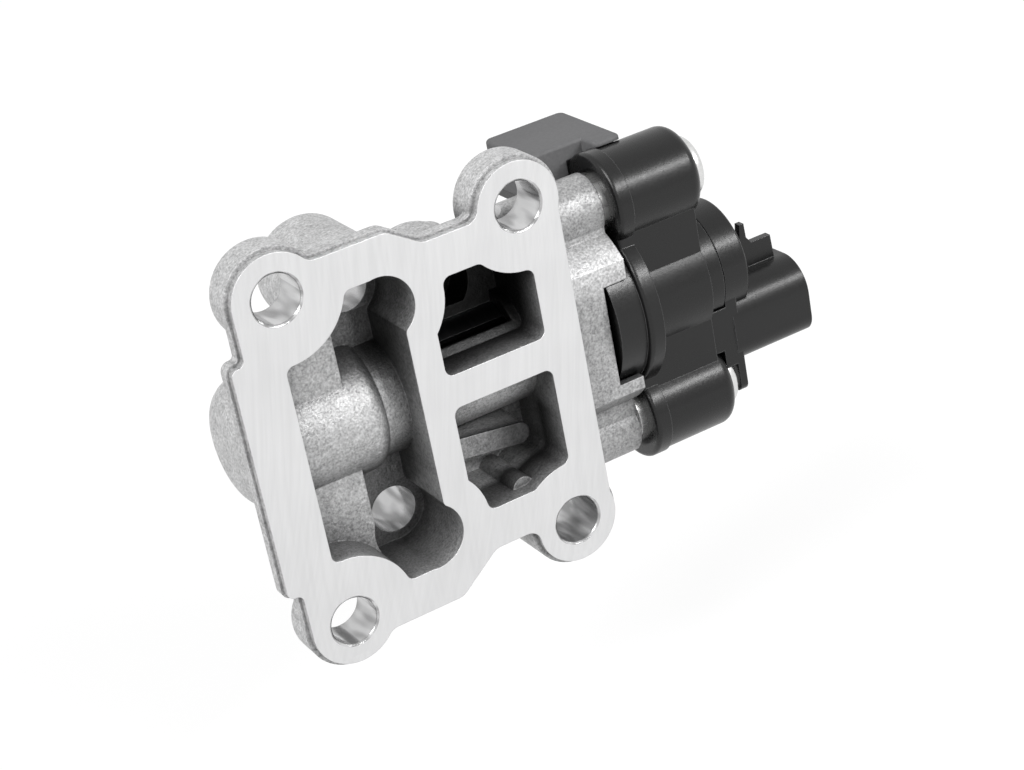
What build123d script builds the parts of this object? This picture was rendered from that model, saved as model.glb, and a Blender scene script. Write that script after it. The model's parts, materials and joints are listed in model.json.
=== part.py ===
from build123d import *
import os
from math import cos, radians, sin, sqrt

# Idle air control valve with a rotary shutter, sizes in millimetres.
# X runs along the shaft, from the blind end of the casting towards the connector.
# Y runs from the machined flange face into the casting. Z points up.
# The origin is the centre of the four mounting holes, on the flange face.

# Mounting flange
bolt_spacing_x = 37.0
bolt_spacing_z = 49.5
bolt_hole_d = 7.0
bolt_chamfer = 0.25
ear_r = 6.4
ear_back_grow = 0.6
ear_blend_r = 2.0
ear_depth = 6.4
long_ear_depth = 15.0
land_h = 1.2
land_left = 27.0
land_step_z = 17.5
land_right = 24.5
land_top = 28.1
land_bottom = 28.5
shoulder_top = 24.8
shoulder_bottom = 23.5
flange_t = 3.0
flange_grow = 0.35

# Coolant chamber on the left of the flange
chamber_left = 19.6
chamber_right = 1.6
chamber_half_z = 22.4
chamber_shelf_x = 10.0
shelf_depth = 6.0
trench_depth = 12.0
lobe_x = 4.3
lobe_z = 17.6
lobe_r = 4.9
coolant_hole_d = 7.1
coolant_boss_r = 7.7
coolant_boss_end = 24.5
bite_r = 6.1
ear_wall = 3.3
chamber_wall = 2.8

# Air ports on the right of the flange
port_left = 2.8
port_right = 18.9
upper_port_low = 4.7
upper_port_high = 18.9
lower_port_low = 17.3
lower_port_high = 0.2
port_ear_wall = 3.0
port_lobe_wall = 4.5
port_depth = 12.5
port_wall = 2.4
dome_x = 9.2
dome_z = 12.5
dome_r = 8.0
dome_end = 20.0
port_window_x0 = 5.0
port_window_x1 = 17.5
port_window_front = 6.8
ledge_front = 6.0
ledge_end = 15.0
ledge_r = 1.65
ledge_z = 9.0
cusp_front = 2.5
cusp_x = 12.2
cusp_r = 1.8

# Shaft line, valve bore and the barrel of metal around it
shaft_y = 13.5
bore_r = 7.2
barrel_r = 9.9
barrel_neck_r = 8.9
barrel_left = 25.8
barrel_dome_r = 5.5
barrel_shoulder_x = 4.4
bore_end = 21.0

# Actuator face of the casting
cheek_y = 2.3
cheek_x = 30.5
seat_x = 34.5
ring_r = 15.2
pilot_r = 13.0
window_top = 7.2
window_bottom = 8.4
upper_screw_y = 10.3
upper_screw_z = 16.7
lower_screw_y = 9.7
lower_screw_z = 17.4
lug_r = 4.8
lug_neck = 0.7
lower_lug_y = 10.4
lower_lug_z = 18.5
screw_d = 5.0
thread_core_d = 4.2
thread_depth = 12.0
thread_engaged = 9.0

# Actuator housing
pilot_clear = 0.2
nose_gap = 0.6
housing_gap = 1.0
rim_end = 38.0
rim_r = 13.7
boss_r = 7.0
boss_end = 50.4
boss_edge_r = 1.7
head_r = 4.8
head_t = 2.0
drum_r = 10.3
web_y = 4.8
drum_end = 48.9
collar_r = 9.3
collar_end = 51.7
cup_r = 8.2
spigot_start = 23.0
spigot_clear = 0.05

# Connector cap
cap_gap = 0.25
cap_r = 9.1
cap_end = 56.4
plate_start = 49.1
plate_end = 53.9
plate_bottom = 19.6
socket_end = 66.8
socket_top = 2.9
socket_bottom = 14.9
socket_half_y = 8.4
socket_wall = 1.5
socket_floor = 58.5
terminal_pitch = 4.2
blade_w = 1.5
blade_t = 0.64
rib_y0 = 10.6
rib_y1 = 11.8
rib_top = 1.9
tab_x = 59.7
tab_w = 0.8
tab_top = 4.2
saddle_x = 61.4
ramp_top = 0.8
ramp_end = 65.1

# Driver box on top
box_x0 = 29.1
box_x1 = 42.9
box_front_gap = 0.5
box_back_gap = 0.2
foot_depth = 8.0
box_top = 24.4
box_wall = 1.4
cover_t = 1.5
cover_corner_r = 1.2
lip_x0 = 38.3
lip_reach = 3.8
lip_clear = 0.15

# Rotor
shaft_r = 2.0
running_clear = 0.03
valve_clear = 0.08
valve_x0 = 1.5
valve_x1 = 20.0
valve_wall = 1.3
valve_edge = 126.0
valve_back_edge = -60.0
hub_wall = 1.4
pin_r = 0.6
pin_x = 4.5
magnet_r = 5.2
magnet_x0 = 38.6
magnet_x1 = 46.6
lever_x0 = 35.9
lever_t = 1.2
lever_reach = 6.8
lever_half = 1.2
travel = 30.0
stop_margin = 0.5

# Stator and driver inside the housing
cup_x0 = 35.5
yoke_x0 = 37.4
yoke_x1 = 49.0
yoke_wall = 1.0
bobbin_r = 5.6
bobbin_wall = 0.6
coil_gap = 0.1
board_t = 1.6
coil_strip = 0.45
coil_pitch = 1.1
coil_turns = 3
coil_x0 = -15.0
coil_x1 = -8.0
tail_x0 = -5.0
tail_x1 = -1.5

# Seats inside the housing spigot
bearing_r = 4.5
front_bearing_x0 = 31.7
front_bearing_w = 3.0
seal_r = 4.6
seal_w = 2.6
groove_r = 5.6
groove_x0 = 26.2
groove_w = 2.0
sleeve_r = 4.4
sleeve_wall = 1.6
rear_bearing_x0 = 52.2
rear_bearing_w = 2.6
washer_t = 0.5
clip_t = 0.6
clip_rim = 1.5

hole_x = bolt_spacing_x / 2
hole_z = bolt_spacing_z / 2
shaft = (shaft_y, 0)
upper_place = (upper_screw_y, upper_screw_z)
lower_place = (lower_screw_y, -lower_screw_z)
screw_places = (lower_place, upper_place)
cap_start = collar_end + cap_gap
housing_start = seat_x + housing_gap
nose_start = cheek_x + nose_gap
socket_z = -(socket_top + socket_bottom) / 2
box_floor_z = ring_r + 0.8 + box_wall
box_y1 = shaft_y + ring_r - box_back_gap
box_y0 = upper_screw_y + lug_r + box_front_gap


def slab_y(outline, y0, y1):
    """Solid between the depths y0 and y1, from an outline drawn in X and Z."""
    return extrude(Plane.XZ.offset(-y0) * outline, amount=y1 - y0, dir=(0, 1, 0))


def slab_x(outline, x0, x1):
    """Solid between the stations x0 and x1, from an outline drawn in Y and Z."""
    return extrude(Plane.YZ.offset(x0) * outline, amount=x1 - x0, dir=(1, 0, 0))


def slab_z(outline, z0, z1):
    """Solid between the heights z0 and z1, from an outline drawn in X and Y."""
    return extrude(Plane.XY.offset(z0) * outline, amount=z1 - z0, dir=(0, 0, 1))


def disc(a, b, r):
    """Circle of radius r with its centre at a, b of the drawing plane."""
    return Pos(a, b) * Circle(r)


def block(a0, a1, b0, b1):
    """Rectangle between two pairs of limits of the drawing plane."""
    return Pos((a0 + a1) / 2, (b0 + b1) / 2) * Rectangle(a1 - a0, b1 - b0)


def shaft_rod(r, x0, x1):
    """Round bar on the shaft line."""
    return slab_x(disc(*shaft, r), x0, x1)


def shaft_tube(r_out, r_in, x0, x1):
    """Round tube on the shaft line."""
    return slab_x(disc(*shaft, r_out) - disc(*shaft, r_in), x0, x1)


def round_near(outline, radius, *places):
    """Rounds the corners of a flat outline that lie nearest to the given places."""
    corners = [outline.vertices().sort_by_distance(Vector(*place))[0] for place in places]
    return fillet(corners, radius)


def fill_notches(outline, radius):
    """Rounds the inward corners of a flat outline."""
    return offset(offset(outline, radius, kind=Kind.ARC), -radius, kind=Kind.ARC)


def end_edges(solid, axis, last=True):
    """Edges of the face at one end of a solid."""
    faces = solid.faces().sort_by(axis)
    return (faces[-1] if last else faces[0]).edges()


def ear_blend(side_x, side_z, edge):
    """Round inward corner between one ear and the straight edge of the plate beside it."""
    ear_x = side_x * hole_x
    ear_z = side_z * hole_z
    z = side_z * (edge + ear_blend_r)
    x = ear_x - side_x * sqrt(max(1, (ear_r + ear_blend_r)**2 - (z - ear_z)**2))
    wedge = Polygon((ear_x, ear_z), (x, z), (x, side_z * (edge - 1)))
    return wedge - disc(x, z, ear_blend_r)


def land_outline():
    """Machined flange face without its holes: four ears on a stepped plate."""
    ear_side = hole_x + ear_r
    plate = Polygon(
        (-ear_side, -hole_z),
        (-ear_side, -land_step_z),
        (-land_left, -land_step_z),
        (-land_left, land_step_z),
        (-ear_side, land_step_z),
        (-ear_side, hole_z),
        (-hole_x, land_top),
        (-chamber_right, land_top),
        (port_left + 0.6, shoulder_top),
        (hole_x, shoulder_top),
        (land_right, hole_z),
        (land_right, -hole_z),
        (hole_x, -shoulder_bottom),
        (port_left + 2.1, -shoulder_bottom),
        (-chamber_right, -land_bottom),
        (-hole_x, -land_bottom),
    )
    outline = round_near(
        plate,
        1.0,
        (-land_left, -land_step_z),
        (-land_left, land_step_z),
        (-ear_side, -land_step_z),
        (-ear_side, land_step_z),
    )
    outline = round_near(
        outline,
        2.5,
        (-chamber_right, land_top),
        (port_left + 0.6, shoulder_top),
        (port_left + 2.1, -shoulder_bottom),
        (-chamber_right, -land_bottom),
    )
    for x in (-hole_x, hole_x):
        for z in (-hole_z, hole_z):
            outline += disc(x, z, ear_r)
    outline += ear_blend(-1, 1, land_top)
    outline += ear_blend(-1, -1, land_bottom)
    outline += ear_blend(1, 1, shoulder_top)
    return outline + ear_blend(1, -1, shoulder_bottom)


def chamber_outline():
    """Mouth of the coolant chamber: a slot with a round lobe at each end."""
    outline = block(-chamber_left, -lobe_x, -chamber_half_z, chamber_half_z)
    outline += block(-lobe_x, -chamber_right, -lobe_z, lobe_z)
    for side in (-1, 1):
        outline += disc(-lobe_x, side * lobe_z, lobe_r)
    for side in (-1, 1):
        outline -= disc(-hole_x, side * hole_z, ear_r + ear_wall)
    corner_z = hole_z - sqrt((ear_r + ear_wall)**2 - (chamber_left - hole_x)**2)
    corner_x = hole_x - sqrt((ear_r + ear_wall)**2 - (hole_z - chamber_half_z)**2)
    neck_z = lobe_z - sqrt(lobe_r**2 - (lobe_x - chamber_right)**2)
    outline = round_near(
        outline,
        1.2,
        (-chamber_left, corner_z),
        (-chamber_left, -corner_z),
        (-corner_x, chamber_half_z),
        (-corner_x, -chamber_half_z),
    )
    return round_near(outline, 1.0, (-chamber_right, neck_z), (-chamber_right, -neck_z))


def port_outline(low, high, side):
    """Mouth of one air port, cut back from the ear and from the coolant lobe beside it."""
    outline = block(port_left, port_right, low, high)
    outline -= disc(hole_x, side * hole_z, ear_r + port_ear_wall)
    outline -= disc(-lobe_x, side * lobe_z, lobe_r + port_lobe_wall)
    outer = high if side > 0 else low
    inner = low if side > 0 else high
    ear_gap = ear_r + port_ear_wall
    lobe_gap = lobe_r + port_lobe_wall
    ear_x = hole_x - sqrt(ear_gap**2 - (hole_z - abs(outer))**2)
    ear_z = side * (hole_z - sqrt(ear_gap**2 - (port_right - hole_x)**2))
    lobe_side = -lobe_x + sqrt(lobe_gap**2 - (lobe_z - abs(outer))**2)
    return round_near(
        outline,
        1.3,
        (ear_x, outer),
        (port_right, ear_z),
        (port_right, inner),
        (port_left, inner),
        (lobe_side, outer),
    )


def barrel(grow=0.0):
    """Metal around the valve bore, which narrows beside the wall of the ports."""
    wide = shaft_rod(barrel_r + grow, -barrel_left, -barrel_shoulder_x)
    wide = fillet(end_edges(wide, Axis.X), 3.0)
    wide = fillet(end_edges(wide, Axis.X, last=False), barrel_dome_r)
    return wide + shaft_rod(barrel_neck_r + grow, -barrel_left / 2, port_left)


def lug_profile():
    """Section of the actuator seat: two screw lugs joined to a ring that is flat in front."""
    outline = disc(*shaft, ring_r)
    for y, z in (upper_place, (lower_lug_y, -lower_lug_z)):
        outline += disc(y, z, lug_r)
        outline += block(y - lug_r + lug_neck, y + lug_r - lug_neck, *sorted((0, z)))
    front = block(-ring_r, cheek_y, -2 * ring_r, 2 * ring_r)
    return outline - front


def valve_body():
    """Die-cast body: flange, coolant chamber, two air ports, valve bore and actuator seat."""
    land = land_outline()
    body = slab_y(land, 0, land_h)
    body += slab_y(offset(land, flange_grow), land_h, flange_t)
    for x in (-hole_x, hole_x):
        for z in (-hole_z, hole_z):
            long_ear = x > 0 and z < 0
            depth = long_ear_depth if long_ear else ear_depth
            ear = slab_y(disc(x, z, ear_r + ear_back_grow), land_h, depth)
            body += fillet(end_edges(ear, Axis.Y), 0.8)

    shelf_wall = offset(chamber_outline(), chamber_wall)
    body += slab_y(shelf_wall, land_h, shelf_depth + chamber_wall)
    left_half = block(-2 * chamber_left, -chamber_shelf_x - chamber_wall, -hole_z, hole_z)
    trench_wall = shelf_wall - left_half
    port_walls = offset(port_outline(upper_port_low, upper_port_high, 1), port_wall)
    port_walls += offset(port_outline(-lower_port_low, -lower_port_high, -1), port_wall)
    core_back = fill_notches(trench_wall + port_walls, 3.0)
    body += slab_y(core_back, land_h, port_depth + port_wall)
    dome = slab_y(disc(dome_x, dome_z, dome_r), land_h, dome_end)
    body += fillet(end_edges(dome, Axis.Y), 1.2)
    for side in (-1, 1):
        boss = slab_y(disc(-lobe_x, side * lobe_z, coolant_boss_r), land_h, coolant_boss_end)
        body += fillet(end_edges(boss, Axis.Y), 0.8)
    body += barrel()
    body += shaft_rod(barrel_r, 0, cheek_x)

    lugs = lug_profile()
    rear = block(shaft_y, 2 * ring_r + shaft_y, -2 * ring_r, 2 * ring_r)
    body += slab_x(lugs - rear, port_right, seat_x)
    body += slab_x(lugs, cheek_x - 3, seat_x)
    for place in (upper_place, (lower_lug_y, -lower_lug_z)):
        body += slab_x(disc(*place, lug_r), port_right, seat_x)

    body -= coolant_void()
    body -= port_voids()
    body -= shaft_rod(bore_r, -bore_end, seat_x)
    body -= shaft_rod(pilot_r, cheek_x, seat_x)
    window = block(-ring_r, shaft_y, -window_bottom, window_top)
    body -= slab_x(window, cheek_x, seat_x)
    for place in screw_places:
        thread = disc(*place, thread_core_d / 2)
        body -= slab_x(thread, seat_x - thread_depth, seat_x)
    for x in (-hole_x, hole_x):
        for z in (-hole_z, hole_z):
            hole = slab_y(disc(x, z, bolt_hole_d / 2), -1, long_ear_depth)
            mouth = slab_y(disc(x, z, bolt_hole_d / 2 + bolt_chamfer), -1, bolt_chamfer)
            body -= hole + chamfer(end_edges(mouth, Axis.Y), bolt_chamfer)
    return body


def coolant_void():
    """Hollow of the coolant chamber: shelf, trench and two drilled lobes."""
    mouth = chamber_outline()
    void = slab_y(mouth, 0, shelf_depth)
    deep = mouth - block(-chamber_left, -chamber_shelf_x, -chamber_half_z, chamber_half_z)
    for side in (-1, 1):
        deep += disc(-lobe_x, side * lobe_z, bite_r) & mouth
    void += slab_y(deep, 0, trench_depth)
    void -= barrel()
    for side in (-1, 1):
        void += slab_y(disc(-lobe_x, side * lobe_z, lobe_r), 0, trench_depth)
        void += slab_y(disc(-lobe_x, side * lobe_z, coolant_hole_d / 2), 0, coolant_boss_end)
    return void


def port_voids():
    """Hollows of the two air ports and their windows into the valve bore."""
    upper = slab_y(port_outline(upper_port_low, upper_port_high, 1), 0, port_depth)
    lower = slab_y(port_outline(-lower_port_low, -lower_port_high, -1), 0, port_depth)
    ledge = block(0, ledge_end, -ledge_r, ledge_r) + disc(ledge_end, 0, ledge_r)
    ledge = Pos(0, -ledge_z) * Rot(0, 0, -8) * ledge
    lower -= slab_y(ledge, ledge_front, port_depth)
    lower -= slab_y(disc(cusp_x, -lower_port_low - 0.4, cusp_r), cusp_front, port_depth)
    pocket = disc(dome_x, dome_z, dome_r - port_wall) & port_outline(upper_port_low, upper_port_high, 1)
    upper += slab_y(pocket, port_depth, dome_end - port_wall)
    void = (upper + lower) - shaft_rod(barrel_neck_r, 0, port_right + port_wall)
    upper_window = block(port_window_x0, port_window_x1, upper_port_low - 1.5, bore_r + 2)
    lower_window = block(port_window_x0, port_window_x1, -bore_r - 1.5, -3)
    void += slab_y(upper_window, port_window_front, port_depth)
    void += slab_y(lower_window, port_window_front + 2, port_depth)
    return void


def housing_profile(r_boss, r_drum):
    """Outline of the actuator housing across the shaft: drum, webs and two screw bosses."""
    outline = disc(*shaft, r_drum)
    for place in screw_places:
        outline += disc(*place, r_boss)
    outline += block(web_y, upper_screw_y + r_boss - 1, -lower_screw_z, upper_screw_z)
    return outline


def actuator_housing():
    """Moulded housing: spigot, pilot nose, rimmed flange, drum and two screw bosses."""
    rim = slab_x(housing_profile(boss_r + 0.3, rim_r), housing_start, rim_end)
    housing = fillet(end_edges(rim, Axis.X, last=False), 0.7)
    housing += slab_x(housing_profile(boss_r - 0.4, drum_r), rim_end, drum_end)
    for place in screw_places:
        boss = slab_x(disc(*place, boss_r), rim_end - 1, boss_end)
        housing += fillet(end_edges(boss, Axis.X), boss_edge_r)
    housing += shaft_rod(collar_r, drum_end, collar_end)
    housing += shaft_rod(pilot_r - pilot_clear, nose_start, housing_start + 1)
    housing += shaft_rod(bore_r - spigot_clear, spigot_start, nose_start)
    housing += driver_tray()

    housing -= slab_z(box_outline(box_wall), box_floor_z, box_top)
    housing -= shaft_rod(cup_r, cup_x0, collar_end)
    housing += stop_ring()
    housing -= shaft_rod(shaft_r + 1, spigot_start, cap_end)
    housing -= shaft_rod(bearing_r, front_bearing_x0, cup_x0)
    housing -= shaft_rod(seal_r, spigot_start, spigot_start + seal_w)
    housing -= shaft_tube(bore_r, groove_r, groove_x0, groove_x0 + groove_w)
    for place in screw_places:
        housing -= slab_x(disc(*place, sleeve_r), housing_start - 1, boss_end)
    return housing


def box_outline(inset=0.0):
    """Plan of the driver box, drawn in X and Y."""
    outline = block(box_x0, box_x1, box_y0, box_y1)
    outline = fillet(outline.vertices(), cover_corner_r)
    return offset(outline, -inset) if inset else outline


def driver_tray():
    """Floor of the driver circuit's box, on top of the drum and over the casting."""
    tray = slab_z(box_outline(), box_floor_z - box_wall, box_floor_z)
    foot = block(housing_start, box_x1 - 1, box_y0, box_y0 + foot_depth)
    return tray + slab_z(foot, 0, box_floor_z)


def driver_cover():
    """Hollow cover of the driver box, with a lip that reaches over the upper screw boss."""
    lip = block(lip_x0, box_x1, box_y0 - lip_reach, box_y0 + 2 * cover_corner_r)
    lip = fillet(lip.vertices().sort_by(Axis.Y)[:2], cover_corner_r)
    cover = slab_z(box_outline() + lip, box_floor_z, box_top)
    cover = fillet(end_edges(cover, Axis.Z), 0.5)
    cover -= slab_z(box_outline(box_wall), box_floor_z, box_top - cover_t)
    boss = disc(*upper_place, boss_r + lip_clear)
    rim = disc(*upper_place, boss_r + 0.3 + lip_clear)
    cover -= slab_x(boss, housing_start, boss_end)
    return cover - slab_x(rim, housing_start - lip_clear, rim_end + lip_clear)


def circuit_board():
    """Driver board on the floor of its box."""
    return slab_z(box_outline(box_wall + 0.3), box_floor_z, box_floor_z + board_t)


def driver_chip():
    """Power chip on the driver board."""
    x = (box_x0 + box_x1) / 2
    y = (box_y0 + box_y1) / 2
    top = box_floor_z + board_t
    return slab_z(block(x - 2.5, x + 2.5, y - 2, y + 2), top, top + 1.5)


def connector_cap():
    """End cap with the rear bearing seat, the connector socket and its lock ramp."""
    ring = shaft_rod(cap_r, cap_start, cap_end)
    cap = fillet(end_edges(ring, Axis.X), 0.5)
    cap += shaft_rod(cup_r - 0.1, cap_start - 1.6, cap_start)
    plate = block(web_y + 0.5, shaft_y + 6, -plate_bottom, -socket_top)
    plate = fillet(plate.vertices(), 1.5)
    cap += slab_x(plate, cap_start, plate_end)
    low_plate = plate - disc(*shaft, collar_r + cap_gap)
    cap += slab_x(low_plate, plate_start, cap_start)
    cap += slab_x(socket_outline(), plate_end - 1, socket_end)
    cap += lock_rib()
    cap -= slab_x(disc(*lower_place, boss_r + 0.2), plate_start, boss_end + cap_gap)
    cap -= slab_x(disc(*lower_place, head_r + 0.4), plate_start, boss_end + head_t + 0.3)
    cap -= slab_x(disc(*lower_place, 3.2), plate_start, plate_end)
    cap -= slab_x(socket_outline(socket_wall), socket_floor, socket_end)
    cap -= shaft_rod(bearing_r, cap_start - 2, rear_bearing_x0 + rear_bearing_w)
    for i in (-1, 0, 1):
        slot = Pos(shaft_y + i * terminal_pitch, socket_z) * Rectangle(blade_w, blade_t)
        cap -= slab_x(slot, cap_start, socket_floor)
    return cap


def lock_rib():
    """Thin rib on the socket with a tab and a ramp that the plug's latch snaps over."""
    root = -socket_top - 1.2
    profile = Polygon(
        (cap_end - 1, root),
        (cap_end - 1, rib_top),
        (tab_x - 0.3, rib_top),
        (tab_x, tab_top),
        (tab_x + tab_w, tab_top),
        (tab_x + tab_w + 0.1, rib_top),
        (saddle_x, ramp_top),
        (ramp_end - 0.2, ramp_top),
        (ramp_end, -socket_top),
        (ramp_end, root),
    )
    return slab_y(profile, rib_y0, rib_y1)


def socket_outline(inset=0.0):
    """Section of the connector socket, drawn in Y and Z."""
    outline = block(shaft_y - socket_half_y, shaft_y + socket_half_y, -socket_bottom, -socket_top)
    top = outline.vertices().sort_by(Axis.Y)[-2:]
    outline = fillet(top, 5.2)
    low = outline.vertices().sort_by(Axis.Y)[:2]
    outline = fillet(low, 3.0)
    return offset(outline, -inset) if inset else outline


def terminal(i):
    """Flat blade of the connector, from inside the cap into the socket."""
    blade = Pos(shaft_y + i * terminal_pitch, socket_z) * Rectangle(blade_w, blade_t)
    return slab_x(blade, cap_start, socket_end - 3)


def sleeve(place):
    """Steel sleeve that takes the clamping force of a screw."""
    ring = disc(*place, sleeve_r) - disc(*place, sleeve_r - sleeve_wall)
    return slab_x(ring, seat_x, boss_end)


def housing_screw(centre):
    """Low round-headed screw that clamps the housing to the casting."""
    shank = slab_x(disc(*centre, screw_d / 2 - 0.1), seat_x, boss_end)
    thread = slab_x(disc(*centre, thread_core_d / 2), seat_x - thread_engaged, seat_x)
    head = slab_x(disc(*centre, head_r), boss_end, boss_end + head_t)
    head = fillet(end_edges(head, Axis.X), 1.2)
    socket = Pos(*centre) * RegularPolygon(2.0, 6)
    head -= slab_x(socket, boss_end + 0.6, boss_end + head_t)
    return shank + thread + head


def sector(r, a0, a1):
    """Pie slice on the shaft line from angle a0 to a1, counted from Y towards Z in degrees."""
    steps = 8
    far = 1.5 * r
    rim = [a0 + (a1 - a0) * i / steps for i in range(steps + 1)]
    rim = [(far * cos(radians(a)), far * sin(radians(a))) for a in rim]
    return disc(*shaft, r) & (Pos(*shaft) * Polygon((0, 0), *rim))


def stop_ring():
    """Ring on the floor of the housing cup, open over the travel of the stop lever."""
    ring = disc(*shaft, cup_r) - disc(*shaft, lever_reach - 1.6)
    lever = block(0, 2 * cup_r, -lever_half, lever_half)
    for side in (-1, 1):
        ring -= Pos(*shaft) * Rot(0, 0, side * (travel + stop_margin)) * lever
    ring -= sector(cup_r + 1, -travel, travel)
    return slab_x(ring, cup_x0, lever_x0 + lever_t)


def rotary_valve():
    """Shutter: two end discs and a curved wall that covers the port windows as it turns."""
    r = bore_r - valve_clear
    hub = shaft_rod(shaft_r + hub_wall, valve_x0, valve_x1)
    left = shaft_rod(r, valve_x0, valve_x0 + valve_wall)
    right = shaft_rod(r, valve_x1 - valve_wall, valve_x1)
    wall = sector(r, valve_back_edge, valve_edge) - disc(*shaft, r - valve_wall)
    wall = slab_x(wall, valve_x0, valve_x1)
    middle = (valve_back_edge + valve_edge) / 2
    rib = Pos(*shaft) * Rot(0, 0, middle) * block(0, r - valve_wall / 2, -0.8, 0.8)
    rib = slab_x(rib, valve_x0, valve_x1)
    valve = hub + left + right + wall + rib
    valve -= valve_pin()
    return valve - shaft_rod(shaft_r, valve_x0, valve_x1)


def valve_pin():
    """Cross pin that locks the shutter to the shaft."""
    reach = shaft_r + hub_wall
    return slab_z(Pos(pin_x, shaft_y) * Circle(pin_r), -reach, reach)


def shaft_part():
    """Steel shaft from the bimetal chamber to the rear bearing."""
    rod = shaft_rod(shaft_r, coil_x0 - 1, rear_bearing_x0 + rear_bearing_w)
    rod -= valve_pin()
    rod -= shaft_tube(shaft_r, shaft_r - 0.4, tail_x0 - clip_t - 0.1, tail_x0 - 0.1)
    slot = slab_x(disc(*shaft, shaft_r) & block(0, 2 * shaft_y, -0.3, 0.3), coil_x0 - 1, coil_x1)
    return rod - slot


def rotor_magnet():
    """Ring magnet around its hub."""
    return shaft_tube(magnet_r, shaft_r + hub_wall, magnet_x0, magnet_x1)


def rotor_hub():
    """Moulded hub that carries the magnet on the shaft."""
    hub = shaft_tube(shaft_r + hub_wall, shaft_r, magnet_x0, magnet_x1 + 1)
    return hub + shaft_tube(magnet_r - 0.6, shaft_r, magnet_x1, magnet_x1 + 1)


def shaft_clip():
    """Retaining clip in its groove, open on one side."""
    ring = disc(*shaft, shaft_r + clip_rim) - disc(*shaft, shaft_r - 0.4)
    mouth = block(shaft_y, shaft_y + 2 * shaft_r, 0.4 - shaft_r, shaft_r - 0.4)
    return slab_x(ring - mouth, tail_x0 - clip_t - 0.1, tail_x0 - 0.1)


def thrust_washer():
    """Washer between the stop lever and the front bearing."""
    x0 = front_bearing_x0 + front_bearing_w + 0.1
    return shaft_tube(bearing_r - 0.6, shaft_r, x0, x0 + washer_t)


def stop_lever():
    """Lever on the shaft that meets the stop ring at both ends of the travel."""
    hub_x0 = front_bearing_x0 + front_bearing_w + washer_t + 0.15
    arm = slab_x(block(shaft_y, shaft_y + lever_reach, -lever_half, lever_half), lever_x0, lever_x0 + lever_t)
    hub = shaft_rod(shaft_r + hub_wall, hub_x0, lever_x0 + lever_t)
    return arm + hub - shaft_rod(shaft_r, hub_x0, lever_x0 + lever_t)


def bearing(x0, w):
    """Plain sintered bearing."""
    return shaft_tube(bearing_r, shaft_r + running_clear, x0, x0 + w)


def o_ring():
    """Seal in the groove of the spigot."""
    minor = (bore_r - groove_r) / 2 - 0.02
    ring = Torus(groove_r + minor + 0.02, minor)
    return Pos(groove_x0 + groove_w / 2, *shaft) * Rot(0, 90, 0) * ring


def bimetal_coil():
    """Spiral bimetal strip: its inner end sits in the slot of the shaft, its outer end at the bore wall."""
    strip = Sketch()
    r = shaft_r + 0.9
    for i in range(2 * coil_turns):
        side = 1 if i % 2 == 0 else -1
        centre = shaft_y - side * coil_pitch / 4
        half = disc(centre, 0, r + coil_strip) - disc(centre, 0, r)
        half &= block(0, 2 * shaft_y, *sorted((0, side * 2 * bore_r)))
        strip += half
        r += coil_pitch / 2
    return slab_x(strip, coil_x0, coil_x1)


def stator_yoke():
    """Steel cup around the winding."""
    yoke = shaft_tube(cup_r, cup_r - yoke_wall, yoke_x0, yoke_x1 - yoke_wall)
    return yoke + shaft_tube(cup_r, bobbin_r, yoke_x0, yoke_x0 + yoke_wall)


def pole_plate():
    """Steel plate that closes the stator cup."""
    return shaft_tube(cup_r, bobbin_r, yoke_x1 - yoke_wall, yoke_x1)


def coil_bobbin():
    """Moulded bobbin with two flanges."""
    x0 = yoke_x0 + yoke_wall
    x1 = yoke_x1 - yoke_wall
    rim_r = cup_r - yoke_wall - coil_gap
    bobbin = shaft_tube(bobbin_r + bobbin_wall, bobbin_r, x0, x1)
    bobbin += shaft_tube(rim_r, bobbin_r, x0, x0 + bobbin_wall)
    return bobbin + shaft_tube(rim_r, bobbin_r, x1 - bobbin_wall, x1)


def coil_winding():
    """Copper winding between the bobbin flanges."""
    inset = yoke_wall + bobbin_wall
    r = cup_r - yoke_wall - 2 * coil_gap
    return shaft_tube(r, bobbin_r + bobbin_wall, yoke_x0 + inset, yoke_x1 - inset)


def build():
    """All sub-parts by name."""
    seal_end = spigot_start + seal_w
    parts = {
        "valve_body": valve_body(),
        "actuator_housing": actuator_housing(),
        "connector_cap": connector_cap(),
        "driver_cover": driver_cover(),
        "circuit_board": circuit_board(),
        "driver_chip": driver_chip(),
        "upper_screw": housing_screw(upper_place),
        "lower_screw": housing_screw(lower_place),
        "upper_sleeve": sleeve(upper_place),
        "lower_sleeve": sleeve(lower_place),
        "housing_o_ring": o_ring(),
        "shaft_seal": shaft_tube(seal_r, shaft_r + running_clear, spigot_start, seal_end),
        "front_bearing": bearing(front_bearing_x0, front_bearing_w),
        "rear_bearing": bearing(rear_bearing_x0, rear_bearing_w),
        "tail_bearing": shaft_tube(bore_r, shaft_r + running_clear, tail_x0, tail_x1),
        "bimetal_coil": bimetal_coil(),
        "stator_yoke": stator_yoke(),
        "pole_plate": pole_plate(),
        "coil_bobbin": coil_bobbin(),
        "coil_winding": coil_winding(),
        "shaft": shaft_part(),
        "rotary_valve": rotary_valve(),
        "valve_pin": valve_pin(),
        "rotor_hub": rotor_hub(),
        "rotor_magnet": rotor_magnet(),
        "stop_lever": stop_lever(),
        "shaft_clip": shaft_clip(),
        "thrust_washer": thrust_washer(),
    }
    for i in (-1, 0, 1):
        parts[f"terminal_{i + 2}"] = terminal(i)
    return parts


if __name__ == "__main__":
    os.makedirs("parts", exist_ok=True)
    for name, solid in build().items():
        export_step(solid, f"parts/{name}.step")
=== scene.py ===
import json
import math

import bpy
from mathutils import Matrix, Vector


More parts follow.
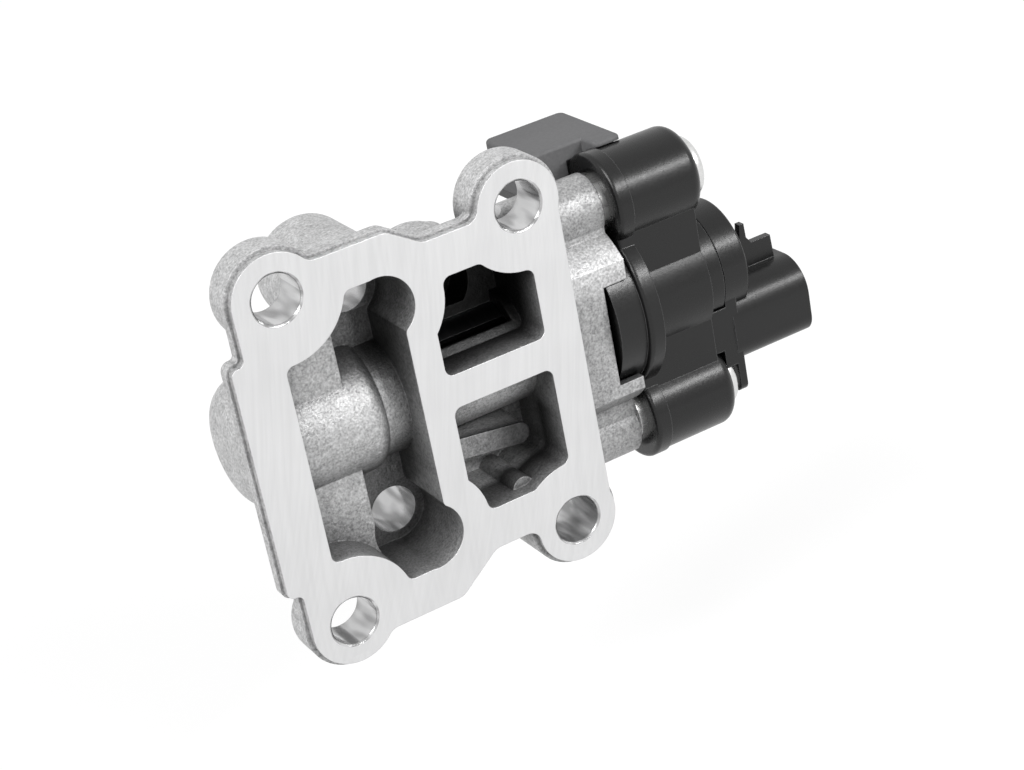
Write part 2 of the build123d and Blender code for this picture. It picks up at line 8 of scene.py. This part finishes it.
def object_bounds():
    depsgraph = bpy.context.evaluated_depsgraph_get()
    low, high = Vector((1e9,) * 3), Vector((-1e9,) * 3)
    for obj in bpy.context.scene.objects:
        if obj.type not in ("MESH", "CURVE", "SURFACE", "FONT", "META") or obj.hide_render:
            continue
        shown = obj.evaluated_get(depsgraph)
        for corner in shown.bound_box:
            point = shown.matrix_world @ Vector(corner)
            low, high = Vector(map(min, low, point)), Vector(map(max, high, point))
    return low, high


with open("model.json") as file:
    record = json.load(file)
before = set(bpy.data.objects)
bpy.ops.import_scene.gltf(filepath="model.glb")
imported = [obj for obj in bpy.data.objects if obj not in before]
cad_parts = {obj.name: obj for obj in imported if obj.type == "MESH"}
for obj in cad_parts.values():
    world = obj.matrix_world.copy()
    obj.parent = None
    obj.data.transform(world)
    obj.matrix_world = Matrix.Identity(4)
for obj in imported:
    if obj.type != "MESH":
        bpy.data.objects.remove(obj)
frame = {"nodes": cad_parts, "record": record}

cad_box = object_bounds()
bpy.context.scene.view_settings.view_transform = "Standard"
MM = 0.001

# Places on the casting that its material needs, in millimetres as in the part's source
BOLT_X, BOLT_Z, BOLT_R = 18.5, 24.75, 3.85
DRILLED_X, DRILLED_Z, DRILLED_R = -4.3, 17.6, 3.62
DRILLED_FRONT = 12.05
SHAFT_Y, BORE_R, BORE_BLIND_END = 13.5, 7.3, -21.1
SEAT_X = 34.46
FACE_SKIN = 0.04
PORT_X, PORT_Y, PORT_Z = (2.6, 19.1), (0.3, 6.0), (-17.45, 19.05)
PORT_DIVIDE = 2.0
LEDGE_X, LEDGE_Y, LEDGE_Z = (6.0, 13.5), (6.2, 8.5), (-8.0, -5.5)
BEHIND_LEDGE_X = (15.0, 17.0)
GROOVE_START, GROOVE_WALL = (-4.9, -3.9), -1.5
GROOVE_Y, GROOVE_Z, GROOVE_FADE = (0.3, 12.1), (-9.0, 14.0), (-5.0, 4.0)
END_X, END_Z = (22.5, 24.0), (21.0, 23.0)
NECK_BOTTOM, NECK_TOP = (6.0, 9.0), (12.5, 16.0)

# Painted shade and light on the cast skin: 1 is the tone of open skin, less is painted darker, as shade, and
# more is painted lighter, as light.
SHADE_REACH = 20
SHADE_STOPS = ((0.08, 0.13), (0.27, 0.27), (0.48, 0.42), (0.66, 0.90), (0.85, 1.0))
UPPER_PORT_SHADE = 0.09
LOWER_PORT_LIGHT = 1.9
LEDGE_SHADE = (0.86, 0.15)
BEHIND_LEDGE_LIGHT = (4.4, 1.9)
GROOVE_SHADE = (0.90, 0.52)
END_DARKENING = 0.82
NECK_LIGHT = 1.25

# The tones of the skin's grain, of the machined metal and of the painted reflection strips in the holes
GRAIN_RANGE, GRAIN_TONES = (0.30, 0.72), (0.28, 0.74)
MILLED_RANGE, MILLED_TONES = (0.38, 0.62), (0.66, 0.70)
STRIP_RANGE, STRIP_TONES = (0.40, 0.60), (0.62, 1.15)
BORED_TONE = 0.80
FACE_EDGE, CAST_EDGE = 0.12 * MM, 0.24 * MM

NOISE_RANGE = (0.3, 0.7)
EDGE_START, EDGE_FULL = 0.02, 0.16
BEVEL_SAMPLES = 6
OPENNESS_SAMPLES = 8
MIX_INPUTS = (0, 2, 3)
SPAN_INPUTS = ("From Min", "From Max", "To Min", "To Max")


class Graph:
    """A material's node tree, with short calls for the nodes used here."""

    SOCKETS = {
        "color": "Base Color", "metallic": "Metallic", "roughness": "Roughness",
        "specular": "Specular IOR Level", "normal": "Normal",
    }

    def __init__(self, name):
        self.material = bpy.data.materials.new(name)
        self.material.use_nodes = True
        self.tree = self.material.node_tree
        self.tree.nodes.clear()
        self.shader = self.new("ShaderNodeBsdfPrincipled")
        output = self.new("ShaderNodeOutputMaterial")
        self.link(self.shader.outputs["BSDF"], output.inputs["Surface"])
        self.place = self.new("ShaderNodeTexCoord").outputs["Object"]

    def new(self, kind):
        return self.tree.nodes.new(kind)

    def link(self, source, target):
        self.tree.links.new(source, target)

    def feed(self, socket, value):
        """Links a socket's value, and sets a plain value on the socket itself."""
        if isinstance(value, bpy.types.NodeSocket):
            self.link(value, socket)
        else:
            socket.default_value = value

    def set(self, **values):
        for key, value in values.items():
            self.feed(self.shader.inputs[self.SOCKETS[key]], value)

    def math(self, operation, a, b=0.0):
        node = self.new("ShaderNodeMath")
        node.operation = operation
        for socket, value in zip(node.inputs, (a, b)):
            self.feed(socket, value)
        return node.outputs[0]

    def add(self, a, b):
        return self.math("ADD", a, b)

    def minus(self, a, b):
        return self.math("SUBTRACT", a, b)

    def times(self, a, b):
        return self.math("MULTIPLY", a, b)

    def above(self, a, b):
        return self.math("GREATER_THAN", a, b)

    def below(self, a, b):
        return self.math("LESS_THAN", a, b)

    def either(self, a, b):
        return self.math("MAXIMUM", a, b)

    def between(self, place, low, high):
        """1 from low to high, in millimetres."""
        return self.times(self.above(place, low * MM), self.below(place, high * MM))

    def within_circle(self, a, a0, b, b0, r):
        """1 inside a round hole with its middle at a0, b0, in millimetres."""
        da = self.minus(a, a0 * MM)
        db = self.minus(b, b0 * MM)
        return self.below(self.add(self.times(da, da), self.times(db, db)), (r * MM) ** 2)

    def split(self):
        node = self.new("ShaderNodeSeparateXYZ")
        self.link(self.place, node.inputs[0])
        return node.outputs

    def joined(self, a, b):
        node = self.new("ShaderNodeCombineXYZ")
        self.link(a, node.inputs[0])
        self.link(b, node.inputs[1])
        return node.outputs[0]

    def stretched(self, scale):
        node = self.new("ShaderNodeMapping")
        self.link(self.place, node.inputs["Vector"])
        node.inputs["Scale"].default_value = scale
        return node.outputs["Vector"]

    def noise(self, scale, detail=3.0, roughness=0.6, vector=None):
        node = self.new("ShaderNodeTexNoise")
        self.link(vector or self.place, node.inputs["Vector"])
        node.inputs["Scale"].default_value = scale
        node.inputs["Detail"].default_value = detail
        node.inputs["Roughness"].default_value = roughness
        return node.outputs["Fac"]

    def cells(self, scale):
        node = self.new("ShaderNodeTexVoronoi")
        self.link(self.place, node.inputs["Vector"])
        node.inputs["Scale"].default_value = scale
        return node.outputs["Distance"]

    def span(self, value, low, high, to_low=0.0, to_high=1.0):
        """A straight ramp from to_low at low to to_high at high, flat beyond both."""
        node = self.new("ShaderNodeMapRange")
        self.feed(node.inputs["Value"], value)
        for key, number in zip(SPAN_INPUTS, (low, high, to_low, to_high)):
            node.inputs[key].default_value = number
        return node.outputs["Result"]

    def ramp(self, place, ends, levels=(0.0, 1.0)):
        """A span over a length, with its ends in millimetres."""
        return self.span(place, ends[0] * MM, ends[1] * MM, *levels)

    def vary(self, noise, low, high):
        """A span over the usual range of a noise."""
        return self.span(noise, *NOISE_RANGE, low, high)

    def curve(self, value, stops):
        """Straight lines between (input, output) stops."""
        node = self.new("ShaderNodeValToRGB")
        self.link(value, node.inputs["Fac"])
        points = node.color_ramp.elements
        while len(points) < len(stops):
            points.new(0.5)
        for point, (position, level) in zip(points, stops):
            point.position = position
            point.color = (level, level, level, 1.0)
        return node.outputs["Color"]

    def mix(self, factor, a, b):
        node = self.new("ShaderNodeMix")
        node.data_type = "FLOAT"
        for index, value in zip(MIX_INPUTS, (factor, a, b)):
            self.feed(node.inputs[index], value)
        return node.outputs[0]

    def grey(self, value, tint=(1.0, 1.0, 1.0)):
        node = self.new("ShaderNodeCombineColor")
        for socket, part in zip(node.inputs, tint):
            self.feed(socket, self.times(value, part))
        return node.outputs[0]

    def rounded(self, radius):
        """The normal with every edge rounded."""
        node = self.new("ShaderNodeBevel")
        node.samples = BEVEL_SAMPLES
        self.feed(node.inputs["Radius"], radius)
        return node.outputs["Normal"]

    def edge(self, bent):
        """1 along the edges, where the rounded normal leaves the true one."""
        node = self.new("ShaderNodeVectorMath")
        node.operation = "DOT_PRODUCT"
        self.link(bent, node.inputs[0])
        self.link(self.new("ShaderNodeNewGeometry").outputs["True Normal"], node.inputs[1])
        return self.span(node.outputs["Value"], 1.0 - EDGE_START, 1.0 - EDGE_FULL)

    def openness(self, distance):
        """1 on an open surface, near 0 deep in a recess."""
        node = self.new("ShaderNodeAmbientOcclusion")
        node.samples = OPENNESS_SAMPLES
        node.inputs["Distance"].default_value = distance
        return node.outputs["AO"]

    def bump(self, height, distance, strength, normal=None):
        node = self.new("ShaderNodeBump")
        self.link(height, node.inputs["Height"])
        node.inputs["Distance"].default_value = distance
        self.feed(node.inputs["Strength"], strength)
        if normal:
            self.link(normal, node.inputs["Normal"])
        return node.outputs["Normal"]


# The casting

def machined_places(g, x, y, z):
    """Masks of the milled face, of every bored or drilled wall, and of the drilled coolant holes."""
    wide = g.math("ABSOLUTE", x)
    high = g.math("ABSOLUTE", z)
    face = g.below(y, FACE_SKIN * MM)
    bolt = g.within_circle(wide, BOLT_X, high, BOLT_Z, BOLT_R)
    drilled = g.within_circle(x, DRILLED_X, high, DRILLED_Z, DRILLED_R)
    drilled = g.times(drilled, g.above(y, DRILLED_FRONT * MM))
    bore = g.within_circle(y, SHAFT_Y, z, 0.0, BORE_R)
    bore = g.times(bore, g.above(x, BORE_BLIND_END * MM))
    seat = g.above(x, SEAT_X * MM)
    walls = g.either(g.either(bolt, drilled), g.either(bore, seat))
    return face, walls, drilled


def milling_arcs(g, x, z, centre, pitch_scale, turn_scale=9.0):
    """Marks of a large face mill: fine arcs about a far centre, in metres."""
    dx = g.minus(x, centre[0])
    dz = g.minus(z, centre[1])
    radius = g.math("SQRT", g.add(g.times(dx, dx), g.times(dz, dz)))
    turn = g.math("ARCTAN2", dz, dx)
    polar = g.joined(g.times(radius, pitch_scale), g.times(turn, turn_scale))
    return g.noise(scale=1.0, detail=2.0, roughness=0.5, vector=polar)


def painted_reflection_strips(g, y, a, a0, b, b0, depth_scale=90.0):
    """Lighter and darker strips along the wall of a hole about a0, b0, painted as reflections."""
    angle = g.math("ARCTAN2", g.minus(b, b0 * MM), g.minus(a, a0 * MM))
    unrolled = g.joined(angle, g.times(y, depth_scale))
    bands = g.noise(scale=1.7, detail=1.0, roughness=0.4, vector=unrolled)
    return g.span(bands, *STRIP_RANGE, *STRIP_TONES)


def painted_light_and_shade(g, x, y, z):
    """Painted shade and light on the cast skin: recesses are painted darker, as shade, and some places
    lighter.
    """
    painted_tone = g.curve(g.openness(SHADE_REACH * MM), SHADE_STOPS)

    # The seat end is a little darker, and its neck below the upper screw lug is painted lighter, as painted
    # light.
    end = g.ramp(x, END_X)
    low_part = g.ramp(g.math("ABSOLUTE", z), END_Z, (1.0, 0.0))
    painted_tone = g.times(painted_tone, g.mix(g.times(end, low_part), 1.0, END_DARKENING))
    neck = g.times(end, g.ramp(z, NECK_BOTTOM))
    neck = g.times(neck, g.ramp(z, NECK_TOP, (1.0, 0.0)))
    painted_tone = g.mix(neck, painted_tone, NECK_LIGHT)

    # The upper port and the far half of the lower port's ledge are painted darker, as shade; around the
    # ledge and in the lower port above it the skin is painted lighter, as light.
    # The box of the ports has no end in y, so it also changes the casting's back behind them.
    port = g.times(g.between(x, *PORT_X), g.between(z, *PORT_Z))
    port = g.times(port, g.ramp(y, PORT_Y))
    ledge_front = g.ramp(x, LEDGE_X, LEDGE_SHADE)
    behind = g.ramp(x, BEHIND_LEDGE_X, BEHIND_LEDGE_LIGHT)
    ledge = g.mix(g.ramp(y, LEDGE_Y), ledge_front, behind)
    lower = g.mix(g.ramp(z, LEDGE_Z), ledge, LOWER_PORT_LIGHT)
    either_port = g.mix(g.above(z, PORT_DIVIDE * MM), lower, UPPER_PORT_SHADE)
    painted_tone = g.times(painted_tone, g.mix(port, 1.0, either_port))

    # The groove beside the barrel is painted darker too, as painted shade.
    groove = g.times(g.ramp(x, GROOVE_START), g.below(x, GROOVE_WALL * MM))
    groove = g.times(groove, g.times(g.between(y, *GROOVE_Y), g.between(z, *GROOVE_Z)))
    return g.times(painted_tone, g.mix(groove, 1.0, g.ramp(z, GROOVE_FADE, GROOVE_SHADE)))


def cast_aluminium():
    """Grainy die-cast skin, a milled flange face, and bored and drilled walls."""
    g = Graph("cast_aluminium")
    x, y, z = g.split()
    face, walls, drilled = machined_places(g, x, y, z)
    machined = g.either(face, walls)

    grain = g.noise(scale=2900, detail=4.0, roughness=0.62)
    coarse = g.noise(scale=900, detail=3.0, roughness=0.55)
    mottle = g.noise(scale=170, detail=3.0, roughness=0.5)
    skin = g.add(g.span(grain, *GRAIN_RANGE, *GRAIN_TONES), g.vary(coarse, -0.07, 0.08))
    skin = g.add(skin, g.vary(mottle, -0.05, 0.05))
    # The skin's tone is painted darker in recesses and lighter in a few places, as painted shade and light.
    skin = g.times(skin, painted_light_and_shade(g, x, y, z))

    near = milling_arcs(g, x, z, centre=(-0.150, 0.036), pitch_scale=1900.0)
    far = milling_arcs(g, x, z, centre=(0.175, -0.030), pitch_scale=1300.0)
    lines = g.times(g.add(near, far), 0.5)
    cloud = g.noise(scale=110, detail=2.0, roughness=0.5)
    cut = g.add(g.span(lines, *MILLED_RANGE, *MILLED_TONES), g.vary(cloud, -0.015, 0.015))
    wide = g.math("ABSOLUTE", x)
    high = g.math("ABSOLUTE", z)
    # The strips in the bolt holes and the drilled holes are painted reflections.
    bolt_strips = painted_reflection_strips(g, y, wide, BOLT_X, high, BOLT_Z)
    drilled_strips = painted_reflection_strips(g, y, x, DRILLED_X, high, DRILLED_Z)
    strips = g.mix(drilled, bolt_strips, drilled_strips)
    cut = g.times(cut, g.mix(walls, 1.0, g.times(strips, BORED_TONE)))

    g.set(
        color=g.grey(g.mix(machined, skin, cut), tint=(1.0, 1.0, 1.005)),
        metallic=g.mix(machined, 0.40, 0.80),
        roughness=g.mix(machined, g.vary(coarse, 0.50, 0.38), g.mix(walls, 0.42, 0.16)),
    )
    bent = g.rounded(g.mix(face, CAST_EDGE, FACE_EDGE))
    relief = g.mix(machined, g.add(grain, g.times(coarse, 1.4)), lines)
    g.set(normal=g.bump(relief, distance=0.09 * MM, strength=g.mix(machined, 0.9, 0.05), normal=bent))
    return g.material


# The plastics, the other metals and the rubber

def moulding(name, tone, roughness, grain_scale, specular, edge_radius, edge_highlight_tone=0.0):
    """Moulded plastic with a fine eroded texture, faint flow marks and a painted highlight that makes the
    edges lighter.
    """
    g = Graph(name)
    fine = g.noise(grain_scale)
    flow = g.noise(scale=120, roughness=0.55, vector=g.stretched((0.35, 1.0, 1.0)))
    speck_size = 0.10
    specks = g.span(g.cells(1500), 0.0, speck_size, 1.0, 0.0)
    lift = g.add(g.vary(fine, 0.90, 1.10), g.vary(flow, -0.10, 0.12))
    lift = g.add(lift, g.times(specks, 0.35))
    bent = g.rounded(edge_radius)
    # The edges are painted lighter, as a painted highlight.
    edge_highlight = g.times(g.edge(bent), edge_highlight_tone)
    sheen = g.vary(flow, roughness - 0.05, roughness + 0.06)
    g.set(
        color=g.grey(g.add(g.times(lift, tone), edge_highlight), tint=(1.0, 1.0, 1.02)),
        roughness=g.add(sheen, g.vary(fine, -0.03, 0.03)),
        specular=specular,
        normal=g.bump(fine, distance=0.03 * MM, strength=0.40, normal=bent),
    )
    return g.material


def metal(name, colour, roughness, stretch, grain=0.04, edge_radius=0.12 * MM):
    """Turned, drawn or plated metal: fine lines along one direction and a little staining."""
    g = Graph(name)
    lines = g.noise(scale=1800, detail=2.0, roughness=0.5, vector=g.stretched(stretch))
    stain = g.noise(scale=240)
    lift = g.add(g.span(lines, 0.35, 0.65, 1.0 - grain, 1.0 + grain), g.vary(stain, -0.05, 0.04))
    polish = g.span(g.add(lines, stain), 0.6, 1.4, roughness * 0.8, roughness * 1.25)
    bent = g.rounded(edge_radius)
    g.set(
        color=g.grey(lift, tint=colour),
        metallic=1.0,
        roughness=polish,
        normal=g.bump(lines, distance=0.02 * MM, strength=0.25, normal=bent),
    )
    return g.material


def winding_copper():
    """Turns of enamelled wire, wound around the shaft line."""
    g = Graph("copper")
    x, _, _ = g.split()
    wire = 0.30 * MM
    turns = g.math("SINE", g.times(x, 2 * math.pi / wire))
    stain = g.noise(scale=500)
    lift = g.add(g.span(turns, -1.0, 1.0, 0.55, 1.0), g.vary(stain, -0.08, 0.08))
    g.set(
        color=g.grey(lift, tint=(0.62, 0.24, 0.10)),
        metallic=0.9,
        roughness=g.vary(stain, 0.25, 0.38),
        normal=g.bump(turns, distance=0.08 * MM, strength=0.8),
    )
    return g.material


def circuit_board():
    """Green board with tracks under the solder mask."""
    g = Graph("board")
    tracks = g.new("ShaderNodeTexBrick")
    g.link(g.place, tracks.inputs["Vector"])
    tracks.inputs["Scale"].default_value = 420.0
    tracks.inputs["Color1"].default_value = (0.020, 0.140, 0.060, 1)
    tracks.inputs["Color2"].default_value = (0.026, 0.170, 0.075, 1)
    tracks.inputs["Mortar"].default_value = (0.060, 0.260, 0.120, 1)
    tracks.inputs["Mortar Size"].default_value = 0.04
    g.set(
        color=tracks.outputs["Color"],
        roughness=g.vary(g.noise(scale=900), 0.3, 0.42),
        normal=g.bump(tracks.outputs["Fac"], distance=0.04 * MM, strength=0.6),
    )
    return g.material


def rubber():
    """Dull black rubber."""
    g = Graph("rubber")
    fine = g.noise(scale=1800, detail=4.0)
    g.set(
        color=g.grey(g.vary(fine, 0.010, 0.018)),
        roughness=g.vary(fine, 0.55, 0.72),
        specular=0.35,
        normal=g.bump(fine, distance=0.02 * MM, strength=0.5),
    )
    return g.material


# How much the fine lines of a metal are stretched along each axis, with less for longer lines
ALONG_X = (0.05, 1.0, 1.0)
AROUND_X = (1.0, 0.08, 0.08)
EVEN = (1.0, 1.0, 1.0)
MATERIALS = {
    "cast_aluminium": cast_aluminium(),
    "black_plastic": moulding(
        "black_plastic", tone=0.0035, roughness=0.28, grain_scale=2300, specular=0.40,
        edge_radius=0.22 * MM, edge_highlight_tone=0.08,
    ),
    "grey_plastic": moulding(
        "grey_plastic", tone=0.130, roughness=0.66, grain_scale=2000, specular=0.25,
        edge_radius=0.25 * MM, edge_highlight_tone=0.06,
    ),
    "board": circuit_board(),
    "chip": moulding(
        "chip", tone=0.016, roughness=0.5, grain_scale=2600, specular=0.4, edge_radius=0.1 * MM,
    ),
    "plated_steel": metal("plated_steel", (0.66, 0.66, 0.655), 0.28, ALONG_X),
    "rubber": rubber(),
    "bronze": metal("bronze", (0.46, 0.28, 0.12), 0.42, EVEN, grain=0.12),
    "bimetal": metal("bimetal", (0.58, 0.53, 0.44), 0.34, AROUND_X),
    "yoke_steel": metal("yoke_steel", (0.50, 0.50, 0.50), 0.36, ALONG_X),
    "bobbin_plastic": moulding(
        "bobbin_plastic", tone=0.50, roughness=0.55, grain_scale=1800, specular=0.4, edge_radius=0.1 * MM,
    ),
    "copper": winding_copper(),
    "tinned_brass": metal("tinned_brass", (0.78, 0.76, 0.70), 0.28, ALONG_X, edge_radius=0.08 * MM),
    "ground_steel": metal("ground_steel", (0.66, 0.66, 0.67), 0.22, AROUND_X),
    # The shutter's steel is given a near-black tone, as painted shade that darkens the upper port.
    "shutter_steel": metal("shutter_steel", (0.03, 0.03, 0.031), 0.40, AROUND_X),
    "ferrite": moulding(
        "ferrite", tone=0.03, roughness=0.6, grain_scale=1500, specular=0.4, edge_radius=0.1 * MM,
    ),
}

slot_of = {row["node"]: row["material_slot"] for row in frame["record"]["subparts"]}
for name, node in frame["nodes"].items():
    node.data.materials.clear()
    node.data.materials.append(MATERIALS[slot_of[name]])


# The camera, at the photograph's viewing angle

def put(name, data):
    """A new object in the scene."""
    thing = bpy.data.objects.new(name, data)
    bpy.context.scene.collection.objects.link(thing)
    return thing


CAMERA_PLACE = Vector((-115.1, -265.07, 139.58)) * MM
CAMERA_RIGHT = Vector((0.84777, -0.50030, -0.17602))
CAMERA_UP = Vector((0.35803, 0.29503, 0.88587))
CAMERA_FORWARD = Vector((0.39127, 0.81404, -0.42924))

lens = bpy.data.cameras.new("camera")
lens.sensor_width = 36.0
lens.lens = 82.14
lens.clip_start = 0.01
camera = put("camera", lens)
camera_turn = Matrix((CAMERA_RIGHT, CAMERA_UP, -CAMERA_FORWARD)).transposed().to_4x4()
camera.matrix_world = Matrix.Translation(CAMERA_PLACE) @ camera_turn
bpy.context.scene.camera = camera


# The floor and the light

FLOOR_DROP = 30 * MM
FLOOR_HALF = 3.0
FLOOR_COLOUR = (0.25, 0.25, 0.25, 1)
FLOOR_GLOW = 0.80
ROOM_LEVEL = 0.24
WHITE = (1, 1, 1, 1)


def seen_directly(tree):
    """1 for the rays that see the background: from the camera, in gloss and through glass."""
    rays = tree.nodes.new("ShaderNodeLightPath").outputs
    seen = rays["Is Camera Ray"]
    for kind in ("Is Glossy Ray", "Is Transmission Ray"):
        both = tree.nodes.new("ShaderNodeMath")
        both.operation = "MAXIMUM"
        tree.links.new(seen, both.inputs[0])
        tree.links.new(rays[kind], both.inputs[1])
        seen = both.outputs[0]
    return seen


def floor_material():
    """White to the camera and in reflections, with the object's shadow on it."""
    g = Graph("stage_white")
    g.set(color=FLOOR_COLOUR, roughness=0.9, specular=0.0)
    g.feed(g.shader.inputs["Emission Color"], WHITE)
    g.feed(g.shader.inputs["Emission Strength"], g.times(seen_directly(g.tree), FLOOR_GLOW))
    return g.material


floor_z = cad_box[0][2] - FLOOR_DROP
sides = ((-1, -1), (1, -1), (1, 1), (-1, 1))
corners = [(a * FLOOR_HALF, b * FLOOR_HALF, floor_z) for a, b in sides]
floor_mesh = bpy.data.meshes.new("floor")
floor_mesh.from_pydata(corners, [], [(0, 1, 2, 3)])
floor_mesh.materials.append(floor_material())
put("floor", floor_mesh)

world = bpy.data.worlds.new("studio")
world.use_nodes = True
bpy.context.scene.world = world
tree = world.node_tree
tree.nodes.clear()
level = tree.nodes.new("ShaderNodeMapRange")
level.inputs["To Min"].default_value = ROOM_LEVEL
level.inputs["To Max"].default_value = 1.0
tree.links.new(seen_directly(tree), level.inputs["Value"])
background = tree.nodes.new("ShaderNodeBackground")
background.inputs["Color"].default_value = WHITE
tree.links.new(level.outputs["Result"], background.inputs["Strength"])
output = tree.nodes.new("ShaderNodeOutputWorld")
tree.links.new(background.outputs[0], output.inputs["Surface"])


def aimed(direction):
    """The turn of a lamp that shines in this direction."""
    return Vector(direction).to_track_quat("-Z", "Y")


# A long strip at the front right gives the black mouldings their highlights.
STRIP_PLACE = Vector((0.25, -0.42, 0.31))
STRIP_TARGET = Vector((0.015, 0.012, 0.0))
strip = bpy.data.lights.new("strip", "AREA")
strip.shape = "RECTANGLE"
strip.size = 0.50
strip.size_y = 0.06
strip.energy = 2.4
strip_lamp = put("strip", strip)
strip_turn = aimed(STRIP_TARGET - STRIP_PLACE).to_matrix().to_4x4()
strip_lamp.matrix_world = Matrix.Translation(STRIP_PLACE) @ strip_turn

# A broad soft key comes from the upper left.
KEY_DIRECTION = (0.72, 0.24, -0.65)
key = bpy.data.lights.new("key", "SUN")
key.energy = 2.6
key.angle = math.radians(35)
key_lamp = put("key", key)
key_lamp.rotation_euler = aimed(KEY_DIRECTION).to_euler()
